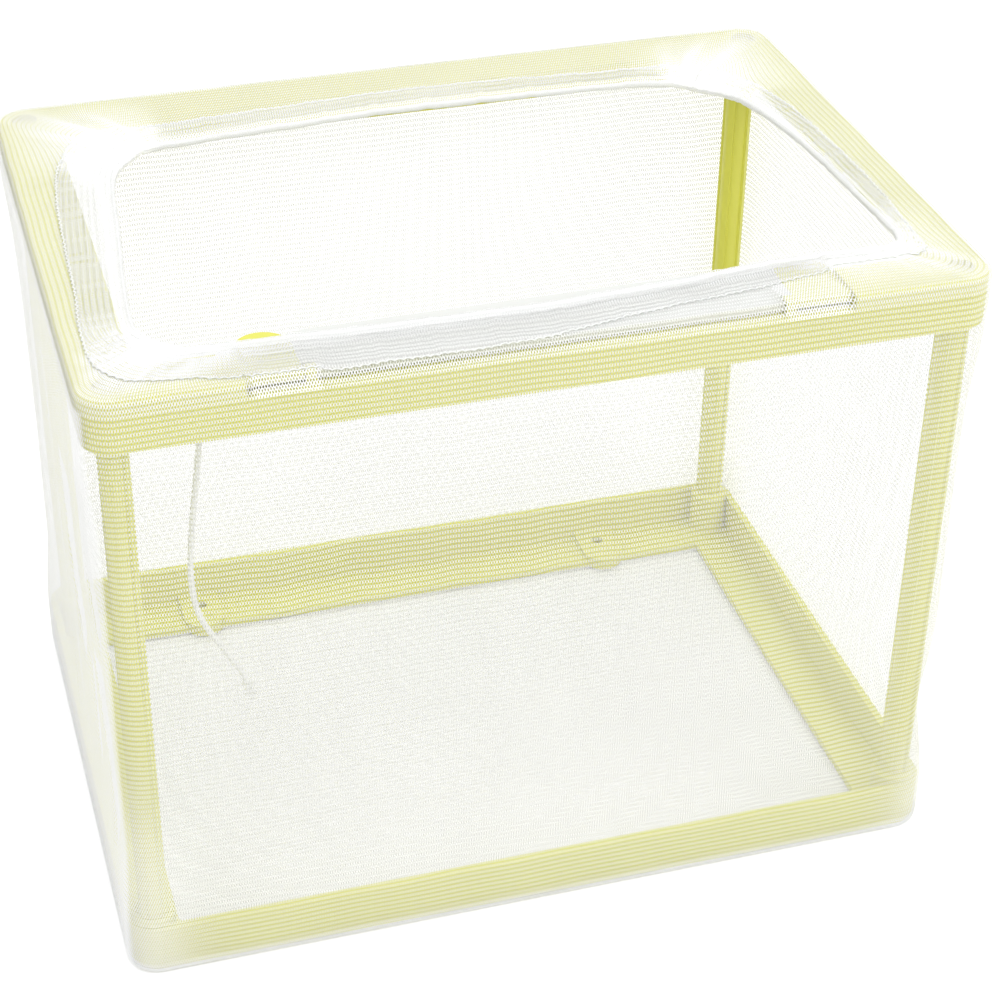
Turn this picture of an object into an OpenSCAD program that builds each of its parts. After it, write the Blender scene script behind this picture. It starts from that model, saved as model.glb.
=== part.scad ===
// Hang-on fish breeding box: a clip-together frame of two moulded rings and four
// posts, with a folding hanger on its front bar and a fine net bag pulled over it.
// Millimetres. +X is right, +Y is back, +Z is up; the origin is the middle of the
// underside of the net floor.

/* [Frame] */
// Outer width of both rings, left to right
frame_w = 170; // [150:1:220]
// Outer depth of both rings, front to back
frame_d = 120; // [95:1:170]
// Height from the underside of the bottom ring to the top of the top ring
frame_h = 133; // [90:1:200]
// Outer corner radius of a ring
corner_r = 6; // [4:0.5:9]
// Height of a ring's outer wall
ring_h = 10.5; // [9:0.5:16]
// Thickness of a ring's outer wall
wall_t = 1.6; // [1.2:0.1:2]
// Width of a ring's flat flange, from the outer face inwards
flange_w = 11; // [10:0.5:15]
// Thickness of a ring's flat flange
flange_t = 1.6; // [1:0.1:2]
// Rounding of a ring's outer top edge
edge_r = 0.9; // [0.3:0.1:1]
// How much wider the bottom ring's flange is on its back bar
ledge_extra = 2; // [0.5:0.1:5]

/* [Bottom tabs] */
// Distance between the centres of the two tabs on the bottom ring's back bar
tab_pitch = 100; // [70:1:116]
// Width of a tab
tab_w = 9.4; // [7:0.2:12]
// Reach of a tab from the ring's outer face to its round end
tab_reach = 15.4; // [14:0.2:20]
// How far a tab stands up from the flange
tab_rise = 1.2; // [0.6:0.1:2]
// Diameter of the hole in a tab
tab_hole_d = 2.8; // [1.6:0.1:3.6]
// Distance of that hole from the ring's outer face
tab_hole_inset = 6.6; // [5.6:0.1:8]

/* [Posts] */
// Distance of a post's centre from the ring's outer faces
post_inset = 5.5; // [5:0.1:6.5]
// Tip-to-tip length of one web of the X-shaped post
post_span = 6.2; // [5.8:0.1:7]
// Thickness of one web of the post
post_web = 1.4; // [1.2:0.1:2.4]
// Diameter of the round peg at each end of a post
peg_d = 5.2; // [4:0.1:5.4]
// Radial clearance of a peg in its socket
peg_clearance = 0.05; // [0.02:0.01:0.15]
// Outer diameter of a post socket
socket_d = 8.6; // [7.8:0.1:9.5]
// How far a socket stands out past the ring's wall
socket_lip = 1.6; // [0.8:0.1:3]
// Bevel round the open end of a post socket
socket_bevel = 0.6; // [0.2:0.1:1]
// How far a peg's end lies below the open end of its socket
peg_recess = 1.2; // [0.5:0.1:3]

/* [Hanger] */
// Distance between the centres of the two hanger arms
arm_pitch = 102; // [80:1:120]
// Width of a hanger arm
arm_w = 10.4; // [8:0.2:14]
// Reach of a hanger arm from the hinge axis to its round end
arm_reach = 14.4; // [11:0.2:20]
// Reach of the hanger plate from the hinge axis to its free edge
plate_reach = 13.4; // [8:0.2:16]
// How far the hanger plate's front edge lies before the hinge axis
plate_heel = 0.9; // [0.4:0.1:1]
// Thickness of the hanger plate and of the arms
hanger_t = 1.4; // [1:0.1:1.6]
// Corner radius of the hanger plate's free edge
plate_r = 3; // [1:0.5:5]
// Distance of the hinge axis from the ring's front face
hinge_inset = 3.4; // [3.3:0.1:5]
// Depth of the hinge axis under the ring's top face
hinge_drop = 1.5; // [1.4:0.1:2]
// Diameter of an arm's barrel
barrel_d = 2.6; // [2.4:0.1:2.8]
// Diameter of an arm's stub pins
pin_d = 1.6; // [1.2:0.1:1.8]
// Length of an arm's stub pin
pin_len = 1.7; // [1:0.1:1.9]
// Radial clearance of a stub pin in its knuckle
pin_clearance = 0.05; // [0.02:0.01:0.1]
// Width of a knuckle on the ring
knuckle_w = 2; // [2:0.1:3]
// Side gap between an arm and its knuckles
arm_gap = 0.2; // [0.1:0.05:0.5]
// Distance from the hinge axis down to the shelf under the folded plate
shelf_gap = 1.3; // [1.3:0.1:2.4]
// How much deeper the shelf lies under an arm
arm_drop = 0.4; // [0.3:0.05:0.6]
// Gap between a knuckle and the plate behind it
notch_gap = 0.5; // [0.3:0.1:1]
// Distance of the plate's tongue from the notch round a knuckle
tongue_inset = 0.4; // [0.2:0.1:1]
// Thickness of the plate's tongue in an arm
tongue_t = 0.7; // [0.4:0.1:0.8]
// Depth of an arm's slot for the tongue
slot_depth = 1.3; // [0.8:0.1:2]
// Clearance of the tongue in its slot, and of the plate beside an arm
slot_gap = 0.08; // [0.04:0.01:0.15]

/* [Net bag] */
// Thickness of the knitted net
net_t = 0.4; // [0.3:0.05:0.8]
// Gap between the net and the rings
net_gap = 0.2; // [0.1:0.05:0.6]
// Width of the net rim over the front bar
mouth_front = 13; // [12:0.5:20]
// Width of the net rim over the back bar
mouth_back = 17; // [12:0.5:24]
// Width of the net rim over each side bar
mouth_side = 15.5; // [12:0.5:22]
// Corner radius of the mouth
mouth_r = 13; // [8:0.5:20]
// Gap between an arm's notch and the part of the rim that stays when the hanger swings out
slip_gap = 0.1; // [0.1:0.1:4]
// Diameter of the elastic cord in the hem
hem_d = 1.6; // [1:0.1:1.7]

/* [Drawstring] */
// Diameter of the loose drawstring end
tail_d = 1.2; // [0.8:0.1:1.6]
// Diameter of the knot at its tip
knot_d = 2.4; // [2:0.1:4]

/* [Hidden] */

LIME = [0.88, 0.88, 0.55];
MILK = [0.93, 0.93, 0.92];
NET = [0.96, 0.96, 0.95, 0.6];
CORD = [0.95, 0.95, 0.94];
$fn = 48;
cut = 1;
joint_lap = 0.5;

base_z = net_t + net_gap;
top_z = base_z + frame_h;
post_x = frame_w / 2 - post_inset;
post_y = frame_d / 2 - post_inset;
socket_h = ring_h + socket_lip;

arm_x = arm_pitch / 2;
axis_y = -frame_d / 2 + hinge_inset;
axis_z = top_z - hinge_drop;
notch_w = arm_w + 2 * arm_gap;
inner_face = arm_x - arm_w / 2;
hanger_half = arm_x + notch_w / 2;
knuckle_in = arm_x - notch_w / 2 - knuckle_w;
knuckle_r = hinge_drop;
knuckle_foot = shelf_gap + joint_lap;
notch_y = knuckle_r + notch_gap;
tongue_y0 = notch_y + tongue_inset;
tongue_l = plate_reach - plate_r - tongue_y0;
recess = hinge_drop + shelf_gap;

net_out = net_gap + net_t;
skin_top = top_z - recess - net_gap;
rim_top = top_z + net_out;
rim_mid = top_z + net_gap + net_t / 2;
slip_w = 2 * (hanger_half + slip_gap);
mouth_x = frame_w / 2 - mouth_side;
mouth_y0 = -frame_d / 2 + mouth_front;
mouth_y1 = frame_d / 2 - mouth_back;
hem_in = hem_d / 2 + 0.1;

// The loose drawstring end leaves the hem left of the left arm and hangs inside the net
tail_y = mouth_y0 + hem_in;
tail_z = rim_mid - hem_d / 2 + 0.2;
TAIL = [[-61, tail_y, tail_z], [-61.2, tail_y, 130], [-61.9, tail_y, 124],
  [-62.8, tail_y, 116], [-63.8, tail_y, 108], [-64.9, tail_y, 100],
  [-65.8, tail_y, 92], [-66.2, tail_y, 85], [-65.8, tail_y, 79],
  [-64.4, tail_y, 74], [-62.2, tail_y, 69.5], [-59.8, tail_y, 65],
  [-57.8, tail_y, 61], [-56.6, tail_y, 57.6]];

// Plate with round vertical corners, its underside at z = 0
module slab(w, d, r, h) {
  translate([-w / 2 + r, -d / 2, 0]) cube([w - 2 * r, d, h]);
  translate([-w / 2, -d / 2 + r, 0]) cube([w, d - 2 * r, h]);
  for (x = [-1, 1], y = [-1, 1])
    translate([x * (w / 2 - r), y * (d / 2 - r), 0]) cylinder(r = r, h = h);
}

// Section of a ring's wall: x is the distance from its inner face, y the height
module wall_section() {
  square([wall_t, ring_h - edge_r]);
  square([wall_t - edge_r, ring_h]);
  translate([wall_t - edge_r, ring_h - edge_r]) circle(r = edge_r);
}

// The wall, carried round four straight sides and four round corners
module ring_wall() {
  run_x = frame_w - 2 * corner_r;
  run_y = frame_d - 2 * corner_r;
  for (a = [0, 180]) {
    rotate(a) translate([frame_w / 2 - wall_t, run_y / 2, 0])
      rotate([90, 0, 0]) linear_extrude(run_y) wall_section();
    rotate(a + 90) translate([frame_d / 2 - wall_t, run_x / 2, 0])
      rotate([90, 0, 0]) linear_extrude(run_x) wall_section();
  }
  for (x = [-1, 1], y = [-1, 1])
    translate([x * run_x / 2, y * run_y / 2, 0])
      rotate(x > 0 ? (y > 0 ? 0 : 270) : (y > 0 ? 90 : 180))
        rotate_extrude(angle = 90) translate([corner_r - wall_t, 0]) wall_section();
}

// A post socket with a flared foot, its mouth pointing down at z = -socket_lip
module socket() {
  r = socket_d / 2;
  foot = -socket_lip;
  rotate_extrude() polygon([[0, foot], [r - socket_bevel, foot], [r, foot + socket_bevel],
    [r, ring_h - flange_t / 2], [0, ring_h - flange_t / 2]]);
}

// Bearing for one end of an arm's pin, round about the hinge axis above its foot;
// forward is how far the foot reaches before the axis
module knuckle(forward) {
  rotate([0, 90, 0]) cylinder(r = knuckle_r, h = knuckle_w);
  translate([0, -forward, -knuckle_foot])
    cube([knuckle_w, forward + knuckle_r, knuckle_foot]);
}

// The two bearings of the arm on the right; the outer one grows out of the ring's wall
module knuckle_pair() {
  translate([knuckle_in, axis_y, ring_h - hinge_drop]) knuckle(knuckle_r);
  translate([hanger_half, axis_y, ring_h - hinge_drop])
    knuckle(hinge_inset - wall_t + joint_lap);
}

// The hole through both bearings, open towards the plate and blind at its outer end
module pin_hole() {
  translate([knuckle_in - cut, axis_y, ring_h - hinge_drop]) rotate([0, 90, 0])
    cylinder(d = pin_d + 2 * pin_clearance, h = cut + 2 * knuckle_w + notch_w);
}

// Wall, flange and unbored sockets of a ring as moulded: flange up, the wall standing on
// z = 0 and the flange ending at ring_h
module ring_shell() {
  ring_wall();
  translate([0, 0, ring_h - flange_t])
    slab(frame_w - 2 * wall_t + joint_lap, frame_d - 2 * wall_t + joint_lap,
      corner_r - wall_t + joint_lap / 2, flange_t);
  for (x = [-post_x, post_x], y = [-post_y, post_y]) translate([x, y, 0]) socket();
}

// The opening inside a ring's flange and the bores of its four sockets
module ring_bore() {
  translate([0, 0, -socket_lip - cut])
    slab(frame_w - 2 * flange_w, frame_d - 2 * flange_w, 1, socket_h + 2 * cut);
  for (x = [-post_x, post_x], y = [-post_y, post_y])
    translate([x, y, -socket_lip - cut])
      cylinder(d = peg_d + 2 * peg_clearance, h = socket_h + 2 * cut);
}

// The top ring before its pin holes, with the recess for the hanger in its front bar
module top_ring_body() {
  difference() {
    union() {
      ring_shell();
      // Lowered shelf under the folded hanger
      translate([-hanger_half, -frame_d / 2 + wall_t - joint_lap, ring_h - recess - flange_t])
        cube([2 * hanger_half, flange_w - wall_t + joint_lap, flange_t + recess / 2]);
    }
    ring_bore();
    translate([-hanger_half, -frame_d / 2 - cut, ring_h - recess])
      cube([2 * hanger_half, flange_w + 2 * cut, recess + cut]);
    for (x = [-arm_x, arm_x])
      translate([x - notch_w / 2, -frame_d / 2 + wall_t, ring_h - recess - arm_drop])
        cube([notch_w, flange_w, recess + cut]);
  }
}

module top_ring() {
  color(LIME) translate([0, 0, top_z - ring_h]) difference() {
    union() {
      top_ring_body();
      for (m = [0, 1]) mirror([m, 0, 0]) knuckle_pair();
    }
    for (m = [0, 1]) mirror([m, 0, 0]) pin_hole();
  }
}

// Flat tab with a round end on the moulded bottom ring, from the wall inwards
module base_tab() {
  root = -frame_d / 2 + wall_t - joint_lap;
  turn_y = -frame_d / 2 + tab_reach - tab_w / 2;
  translate([0, 0, ring_h - flange_t - tab_rise]) {
    translate([-tab_w / 2, root, 0]) cube([tab_w, turn_y - root, flange_t + tab_rise]);
    translate([0, turn_y, 0]) cylinder(d = tab_w, h = flange_t + tab_rise);
  }
}

// The bottom ring is moulded flange up too and turned over about the left-right axis,
// so that the deeper bar with the two tabs lies at the back
module bottom_ring() {
  ledge_x = frame_w / 2 - flange_w + joint_lap;
  ledge_y = -frame_d / 2 + flange_w - joint_lap;
  color(LIME) translate([0, 0, base_z + ring_h]) rotate([180, 0, 0]) difference() {
    union() {
      difference() {
        ring_shell();
        ring_bore();
      }
      translate([-ledge_x, ledge_y, ring_h - flange_t])
        cube([2 * ledge_x, ledge_extra + joint_lap, flange_t]);
      for (x = [-tab_pitch / 2, tab_pitch / 2]) translate([x, 0, 0]) base_tab();
    }
    for (x = [-tab_pitch / 2, tab_pitch / 2])
      translate([x, -frame_d / 2 + tab_hole_inset, 0]) cylinder(d = tab_hole_d, h = ring_h + cut);
  }
}

// X-shaped post with a round peg at each end
module post(x, y) {
  bar = frame_h - 2 * socket_h;
  color(LIME) translate([x, y, base_z + socket_h]) {
    for (a = [45, 135]) rotate(a)
      translate([-post_span / 2, -post_web / 2, 0]) cube([post_span, post_web, bar]);
    translate([0, 0, peg_recess - socket_h])
      cylinder(d = peg_d, h = bar + 2 * (socket_h - peg_recess));
  }
}

module post_front_left() { post(-post_x, -post_y); }
module post_front_right() { post(post_x, -post_y); }
module post_back_left() { post(-post_x, post_y); }
module post_back_right() { post(post_x, post_y); }

// Flat arm with a round end, a barrel and two stub pins; side is +1 or -1 and
// its slot for the plate's tongue faces the middle of the box
module hanger_arm(side) {
  color(LIME) translate([side * arm_x, axis_y, axis_z]) difference() {
    union() {
      translate([-arm_w / 2, 0, -hanger_t / 2])
        cube([arm_w, arm_reach - arm_w / 2, hanger_t]);
      translate([0, arm_reach - arm_w / 2, -hanger_t / 2])
        cylinder(d = arm_w, h = hanger_t);
      translate([-arm_w / 2, 0, 0]) rotate([0, 90, 0])
        cylinder(d = barrel_d, h = arm_w);
      translate([-arm_w / 2 - arm_gap - pin_len, 0, 0]) rotate([0, 90, 0])
        cylinder(d = pin_d, h = arm_w + 2 * (arm_gap + pin_len));
    }
    translate([-side * arm_w / 2 - slot_depth, tongue_y0 - slot_gap, -tongue_t / 2 - slot_gap])
      cube([2 * slot_depth, tongue_l + 2 * slot_gap, tongue_t + 2 * slot_gap]);
  }
}

module hanger_arm_left() { hanger_arm(-1); }
module hanger_arm_right() { hanger_arm(1); }

// White plate between the arms, notched round the inner knuckles
module hanger_plate() {
  half = inner_face - slot_gap;
  heel_half = knuckle_in - arm_gap;
  side_l = plate_reach - plate_r - notch_y;
  color(MILK) translate([0, axis_y, axis_z - hanger_t / 2]) {
    translate([-half, notch_y, 0]) cube([2 * half, side_l, hanger_t]);
    translate([-half + plate_r, notch_y, 0])
      cube([2 * (half - plate_r), side_l + plate_r, hanger_t]);
    for (x = [-1, 1]) translate([x * (half - plate_r), plate_reach - plate_r, 0])
      cylinder(r = plate_r, h = hanger_t);
    translate([-heel_half, -plate_heel, 0])
      cube([2 * heel_half, plate_heel + notch_y, hanger_t]);
    translate([-half - slot_depth + slot_gap, tongue_y0, hanger_t / 2 - tongue_t / 2])
      cube([2 * (half + slot_depth - slot_gap), tongue_l, tongue_t]);
  }
}

// Closed skin of net round the frame from z0 to z1, open at both ends
module skin(z0, z1) {
  translate([0, 0, z0]) difference() {
    slab(frame_w + 2 * net_out, frame_d + 2 * net_out, corner_r + net_out, z1 - z0);
    translate([0, 0, -cut]) slab(frame_w + 2 * net_gap, frame_d + 2 * net_gap,
      corner_r + net_gap, z1 - z0 + 2 * cut);
  }
}

// Flat side panel between two round corners; side is +1 for the back
module long_panel(side) {
  run = frame_w - 2 * corner_r;
  y = side > 0 ? frame_d / 2 + net_gap : -frame_d / 2 - net_out;
  color(NET) translate([-run / 2, y, net_t]) cube([run, net_t, skin_top - net_t]);
}

// End panel with both of its round corners; side is +1 for the right
module end_panel(side) {
  run = frame_w - 2 * corner_r;
  color(NET) intersection() {
    skin(net_t, skin_top);
    translate([side > 0 ? run / 2 : -run / 2 - frame_w, -frame_d, 0])
      cube([frame_w, 2 * frame_d, frame_h]);
  }
}

module net_floor() {
  color(NET) slab(frame_w + 2 * net_out, frame_d + 2 * net_out, corner_r + net_out, net_t);
}
module net_front() { long_panel(-1); }
module net_back() { long_panel(1); }
module net_left() { end_panel(-1); }
module net_right() { end_panel(1); }

// The whole rim of the bag: a lip over the ring's edge and the flat part up to the mouth
module rim() {
  skin(skin_top, rim_top);
  translate([0, 0, rim_top - net_t]) difference() {
    slab(frame_w + 2 * net_out, frame_d + 2 * net_out, corner_r + net_out, net_t);
    translate([0, (mouth_y0 + mouth_y1) / 2, -cut])
      slab(2 * mouth_x, mouth_y1 - mouth_y0, mouth_r, net_t + 2 * cut);
  }
}

// The part of the rim inside one block of space, from (x0, y0) to (x1, y1)
module rim_part(x0, x1, y0, y1) {
  color(NET) intersection() {
    rim();
    translate([x0, y0, skin_top - cut]) cube([x1 - x0, y1 - y0, rim_top - skin_top + 2 * cut]);
  }
}

module net_rim_front() { rim_part(-slip_w / 2, slip_w / 2, -frame_d, 0); }
module net_rim_back() { rim_part(-slip_w / 2, slip_w / 2, 0, frame_d); }
module net_rim_left() { rim_part(-frame_w, -slip_w / 2, -frame_d, frame_d); }
module net_rim_right() { rim_part(slip_w / 2, frame_w, -frame_d, frame_d); }

// One elastic cord round the mouth
module hem_cord() {
  cx = mouth_x - mouth_r;
  cy0 = mouth_y0 + mouth_r;
  cy1 = mouth_y1 - mouth_r;
  turn_r = mouth_r - hem_in;
  color(CORD) translate([0, 0, rim_mid]) {
    for (y = [mouth_y0 + hem_in, mouth_y1 - hem_in])
      translate([-cx, y, 0]) rotate([0, 90, 0]) cylinder(d = hem_d, h = 2 * cx);
    for (x = [-mouth_x + hem_in, mouth_x - hem_in])
      translate([x, cy1, 0]) rotate([90, 0, 0]) cylinder(d = hem_d, h = cy1 - cy0);
    translate([cx, cy1, 0]) hem_turn(turn_r);
    translate([-cx, cy1, 0]) rotate(90) hem_turn(turn_r);
    translate([-cx, cy0, 0]) rotate(180) hem_turn(turn_r);
    translate([cx, cy0, 0]) rotate(270) hem_turn(turn_r);
  }
}

module hem_turn(r) {
  rotate_extrude(angle = 90) translate([r, 0]) circle(d = hem_d);
}

// Unit vector along a step of a route
function unit(v) = v / norm(v);
function heading(p, i) =
  i == 0 ? unit(p[1] - p[0]) :
  i == len(p) - 1 ? unit(p[i] - p[i - 1]) :
  unit(unit(p[i + 1] - p[i]) + unit(p[i] - p[i - 1]));

// Route with each step split in n, on a smooth curve through its points
function curve_at(a, b, c, d, t) =
  0.5 * ((2 * b) + (c - a) * t + (2 * a - 5 * b + 4 * c - d) * t * t
    + (3 * b - a - 3 * c + d) * t * t * t);
function smooth(p, n) = [for (i = [0:len(p) - 2], k = [0:n - 1])
  curve_at(p[max(i - 1, 0)], p[i], p[i + 1], p[min(i + 2, len(p) - 1)], k / n),
  p[len(p) - 1]];

// Closed tube of 8 sides along a route that stays in a plane across Y
module tube(path, d) {
  n = 8;
  side = [0, 1, 0];
  rings = [for (i = [0:len(path) - 1]) let (up = cross(heading(path, i), side))
    for (k = [0:n - 1]) path[i] + d / 2 * (cos(360 * k / n) * side + sin(360 * k / n) * up)];
  last = (len(path) - 1) * n;
  faces = concat(
    [for (i = [0:len(path) - 2], k = [0:n - 1]) let (a = i * n + k, b = i * n + (k + 1) % n)
      [a, b, b + n, a + n]],
    [[for (k = [0:n - 1]) n - 1 - k]],
    [[for (k = [0:n - 1]) last + k]]);
  polyhedron(rings, faces);
}

module drawstring_tail() { color(CORD) tube(smooth(TAIL, 2), tail_d); }

// Overhand knot at the tip, drawn as a small round bead
module drawstring_knot() {
  color(CORD) translate(TAIL[len(TAIL) - 1]) sphere(d = knot_d);
}

top_ring();
bottom_ring();
post_front_left();
post_front_right();
post_back_left();
post_back_right();
hanger_arm_left();
hanger_arm_right();
hanger_plate();
net_floor();
net_front();
net_back();
net_left();
net_right();
net_rim_front();
net_rim_back();
net_rim_left();
net_rim_right();
hem_cord();
drawstring_tail();
drawstring_knot();
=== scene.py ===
import math

import bpy
import numpy as np
from mathutils import Matrix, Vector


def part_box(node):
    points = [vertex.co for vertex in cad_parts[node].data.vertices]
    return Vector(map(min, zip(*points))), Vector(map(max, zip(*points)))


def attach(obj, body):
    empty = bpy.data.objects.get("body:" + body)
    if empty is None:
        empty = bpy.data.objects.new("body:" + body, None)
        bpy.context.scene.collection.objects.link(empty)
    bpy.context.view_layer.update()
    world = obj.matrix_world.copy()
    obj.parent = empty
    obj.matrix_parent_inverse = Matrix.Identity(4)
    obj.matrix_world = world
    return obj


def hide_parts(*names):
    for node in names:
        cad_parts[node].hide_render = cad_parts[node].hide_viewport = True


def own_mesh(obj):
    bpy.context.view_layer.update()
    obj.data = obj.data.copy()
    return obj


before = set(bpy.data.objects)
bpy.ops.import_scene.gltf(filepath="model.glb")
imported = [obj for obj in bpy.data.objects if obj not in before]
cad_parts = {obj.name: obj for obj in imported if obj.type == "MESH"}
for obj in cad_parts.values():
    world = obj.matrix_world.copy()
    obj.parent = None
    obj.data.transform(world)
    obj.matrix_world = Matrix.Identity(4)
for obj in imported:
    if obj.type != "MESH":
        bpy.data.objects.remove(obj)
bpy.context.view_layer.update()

scene = bpy.context.scene
scene.view_settings.view_transform = "Standard"
print("frame loaded:", len(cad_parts), "nodes")


# Everything below is worked out in millimetres, and goes into the meshes in metres
def boxOf(node):
    low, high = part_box(node)
    return np.array(low) * 1000, np.array(high) * 1000


ringLow, ringHigh = boxOf("top_ring")
floorLow, floorHigh = boxOf("net_floor")
wallTop = boxOf("net_front")[1][2]
slipHalf = boxOf("net_rim_front")[1][0]
plateLow, plateHigh = boxOf("hanger_plate")
halfX, halfY = floorHigh[0], floorHigh[1]
ringTop = ringHigh[2]

# Camera, as the photograph was taken
cameraSettings = {
    "place": (-0.11736, -0.40153, 0.34568),
    "azimuth": -15.862,
    "elevation": 33.39,
    "roll": 0.168,
    "lens": 85.59,
    "shift": (0.05, -0.04),
}


def makeCamera(s):
    az, el, roll = (math.radians(s[k]) for k in ("azimuth", "elevation", "roll"))
    back = np.array([math.sin(az) * math.cos(el), -math.cos(az) * math.cos(el), math.sin(el)])
    right = np.cross(-back, [0, 0, 1])
    right /= np.linalg.norm(right)
    up = np.cross(right, -back)
    side = math.cos(roll) * right + math.sin(roll) * up
    top = -math.sin(roll) * right + math.cos(roll) * up
    data = bpy.data.cameras.new("camera")
    data.lens, data.sensor_width = s["lens"], 36
    data.shift_x, data.shift_y = s["shift"]
    data.clip_start, data.clip_end = 0.02, 20
    camera = bpy.data.objects.new("camera", data)
    matrix = Matrix.Identity(4)
    for i in range(3):
        matrix[i][0], matrix[i][1], matrix[i][2], matrix[i][3] = side[i], top[i], back[i], s["place"][i]
    camera.matrix_world = matrix
    scene.collection.objects.link(camera)
    scene.camera = camera


makeCamera(cameraSettings)


# Mesh helpers: each takes whole arrays of points
def smoothStep(a, b, x):
    t = np.clip((x - a) / (b - a), 0, 1)
    return t * t * (3 - 2 * t)


def gridFaces(rows, columns, closed, first=0):
    # Corner rows and columns of each quad of a grid of points; a closed grid wraps its columns
    i, j = np.meshgrid(np.arange(rows - 1), np.arange(columns if closed else columns - 1), indexing="ij")
    cornerRow = np.stack([i, i, i + 1, i + 1], -1).reshape(-1, 4)
    cornerColumn = np.stack([j, j + 1, j + 1, j], -1).reshape(-1, 4)
    index = first + cornerRow * columns + cornerColumn % columns
    return index, cornerRow, cornerColumn


def meshObject(name, points, faces, material, uv=None, packed=None):
    mesh = bpy.data.meshes.new(name)
    mesh.from_pydata((points * 0.001).tolist(), [], faces.tolist())
    if uv is not None:
        layer = mesh.uv_layers.new(name="sheet")
        layer.data.foreach_set("uv", uv.astype(np.float32).ravel())
    if packed is not None:
        attribute = mesh.attributes.new("packed", "FLOAT", "POINT")
        attribute.data.foreach_set("value", packed.astype(np.float32).ravel())
    mesh.polygons.foreach_set("use_smooth", [True] * len(mesh.polygons))
    mesh.materials.append(material)
    mesh.update()
    made = bpy.data.objects.new(name, mesh)
    scene.collection.objects.link(made)
    return made


def gridUv(along, across, cornerRow, cornerColumn):
    # along has one more entry than the grid has columns where it is closed
    column = cornerColumn % across.shape[1]
    return np.stack([along[cornerColumn], across[cornerRow, column]], -1).reshape(-1, 2)


def unitRows(v):
    return v / np.maximum(np.linalg.norm(v, axis=-1, keepdims=True), 1e-9)


def alongLine(line):
    # Distance of each point of a line from its first
    return np.concatenate([[0], np.cumsum(np.linalg.norm(np.diff(line, axis=0), axis=1))])


def pointsAt(at, length, values):
    return np.stack([np.interp(at, length, column) for column in values.T], 1)


def tube(path, radius, sides, reference, shape=None, closed=False, caps=True):
    # Rings of points round each point of the path: centre + r * (cos a * side + sin a * up), where
    # side stands square to the path and to the reference; shape gives r for each ring and angle
    step = np.roll(path, -1, 0) - np.roll(path, 1, 0)
    if not closed:
        step[0], step[-1] = path[1] - path[0], path[-1] - path[-2]
    heading = unitRows(step)
    side = unitRows(np.cross(heading, np.broadcast_to(reference, heading.shape)))
    up = np.cross(side, heading)
    angle = np.arange(sides) * 2 * math.pi / sides
    r = np.full((len(path), sides), radius, float) if shape is None else shape(angle)
    ring = np.cos(angle)[None, :, None] * side[:, None] + np.sin(angle)[None, :, None] * up[:, None]
    points = (path[:, None] + r[..., None] * ring).reshape(-1, 3)
    rows = len(path)
    i, k = np.meshgrid(np.arange(rows if closed else rows - 1), np.arange(sides), indexing="ij")
    nextRow, nextSide = (i + 1) % rows, (k + 1) % sides
    quads = np.stack([i * sides + k, i * sides + nextSide, nextRow * sides + nextSide,
                      nextRow * sides + k], -1).reshape(-1, 4)
    length = alongLine(path)
    total = length[-1] + np.linalg.norm(path[0] - path[-1])
    far = np.where(i + 1 < rows, length[nextRow], total)
    uv = np.stack([np.stack([length[i], k / sides], -1), np.stack([length[i], (k + 1) / sides], -1),
                   np.stack([far, (k + 1) / sides], -1), np.stack([far, k / sides], -1)], 2).reshape(-1, 2)
    faces = quads.tolist()
    if caps and not closed:
        faces.append(list(range(sides - 1, -1, -1)))
        faces.append([(rows - 1) * sides + k for k in range(sides)])
        ends = np.zeros((2 * sides, 2))
        ends[sides:, 0] = length[-1]
        uv = np.concatenate([uv, ends])
    return points, faces, uv


def tubeObject(name, parts, material):
    # Several tubes in one mesh
    points, faces, uv, first = [], [], [], 0
    for p, f, t in parts:
        points.append(p)
        faces += [[first + n for n in face] for face in f]
        uv.append(t)
        first += len(p)
    mesh = bpy.data.meshes.new(name)
    mesh.from_pydata((np.concatenate(points) * 0.001).tolist(), [], faces)
    layer = mesh.uv_layers.new(name="sheet")
    layer.data.foreach_set("uv", np.concatenate(uv).astype(np.float32).ravel())
    mesh.polygons.foreach_set("use_smooth", [True] * len(mesh.polygons))
    mesh.materials.append(material)
    mesh.update()
    made = bpy.data.objects.new(name, mesh)
    scene.collection.objects.link(made)
    return made


# Shader helpers
def node(tree, kind, **settings):
    made = tree.nodes.new(kind)
    for key, value in settings.items():
        setattr(made, key, value)
    return made


def plug(tree, socket, value):
    if isinstance(value, bpy.types.NodeSocket):
        tree.links.new(value, socket)
    else:
        socket.default_value = value


def calc(tree, operation, *values, clamp=False):
    made = node(tree, "ShaderNodeMath", operation=operation, use_clamp=clamp)
    for socket, value in zip(made.inputs, values):
        plug(tree, socket, value)
    return made.outputs[0]


def ramp(tree, value, low, high, toLow, toHigh, smooth=True):
    made = node(tree, "ShaderNodeMapRange", interpolation_type="SMOOTHSTEP" if smooth else "LINEAR")
    for socket, v in zip(made.inputs, (value, low, high, toLow, toHigh)):
        plug(tree, socket, v)
    return made.outputs[0]


def noise(tree, vector, scale, detail=2.0, roughness=0.5):
    made = node(tree, "ShaderNodeTexNoise")
    plug(tree, made.inputs["Vector"], vector)
    for key, v in (("Scale", scale), ("Detail", detail), ("Roughness", roughness)):
        made.inputs[key].default_value = v
    return made.outputs[0]


def newGroup(name, inputs, outputs):
    tree = bpy.data.node_groups.new(name, "ShaderNodeTree")
    for label, kind, value in inputs:
        socket = tree.interface.new_socket(name=label, in_out="INPUT", socket_type=kind)
        if value is not None:
            socket.default_value = value
    for label, kind in outputs:
        tree.interface.new_socket(name=label, in_out="OUTPUT", socket_type=kind)
    return tree, tree.nodes.new("NodeGroupInput"), tree.nodes.new("NodeGroupOutput")


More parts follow.
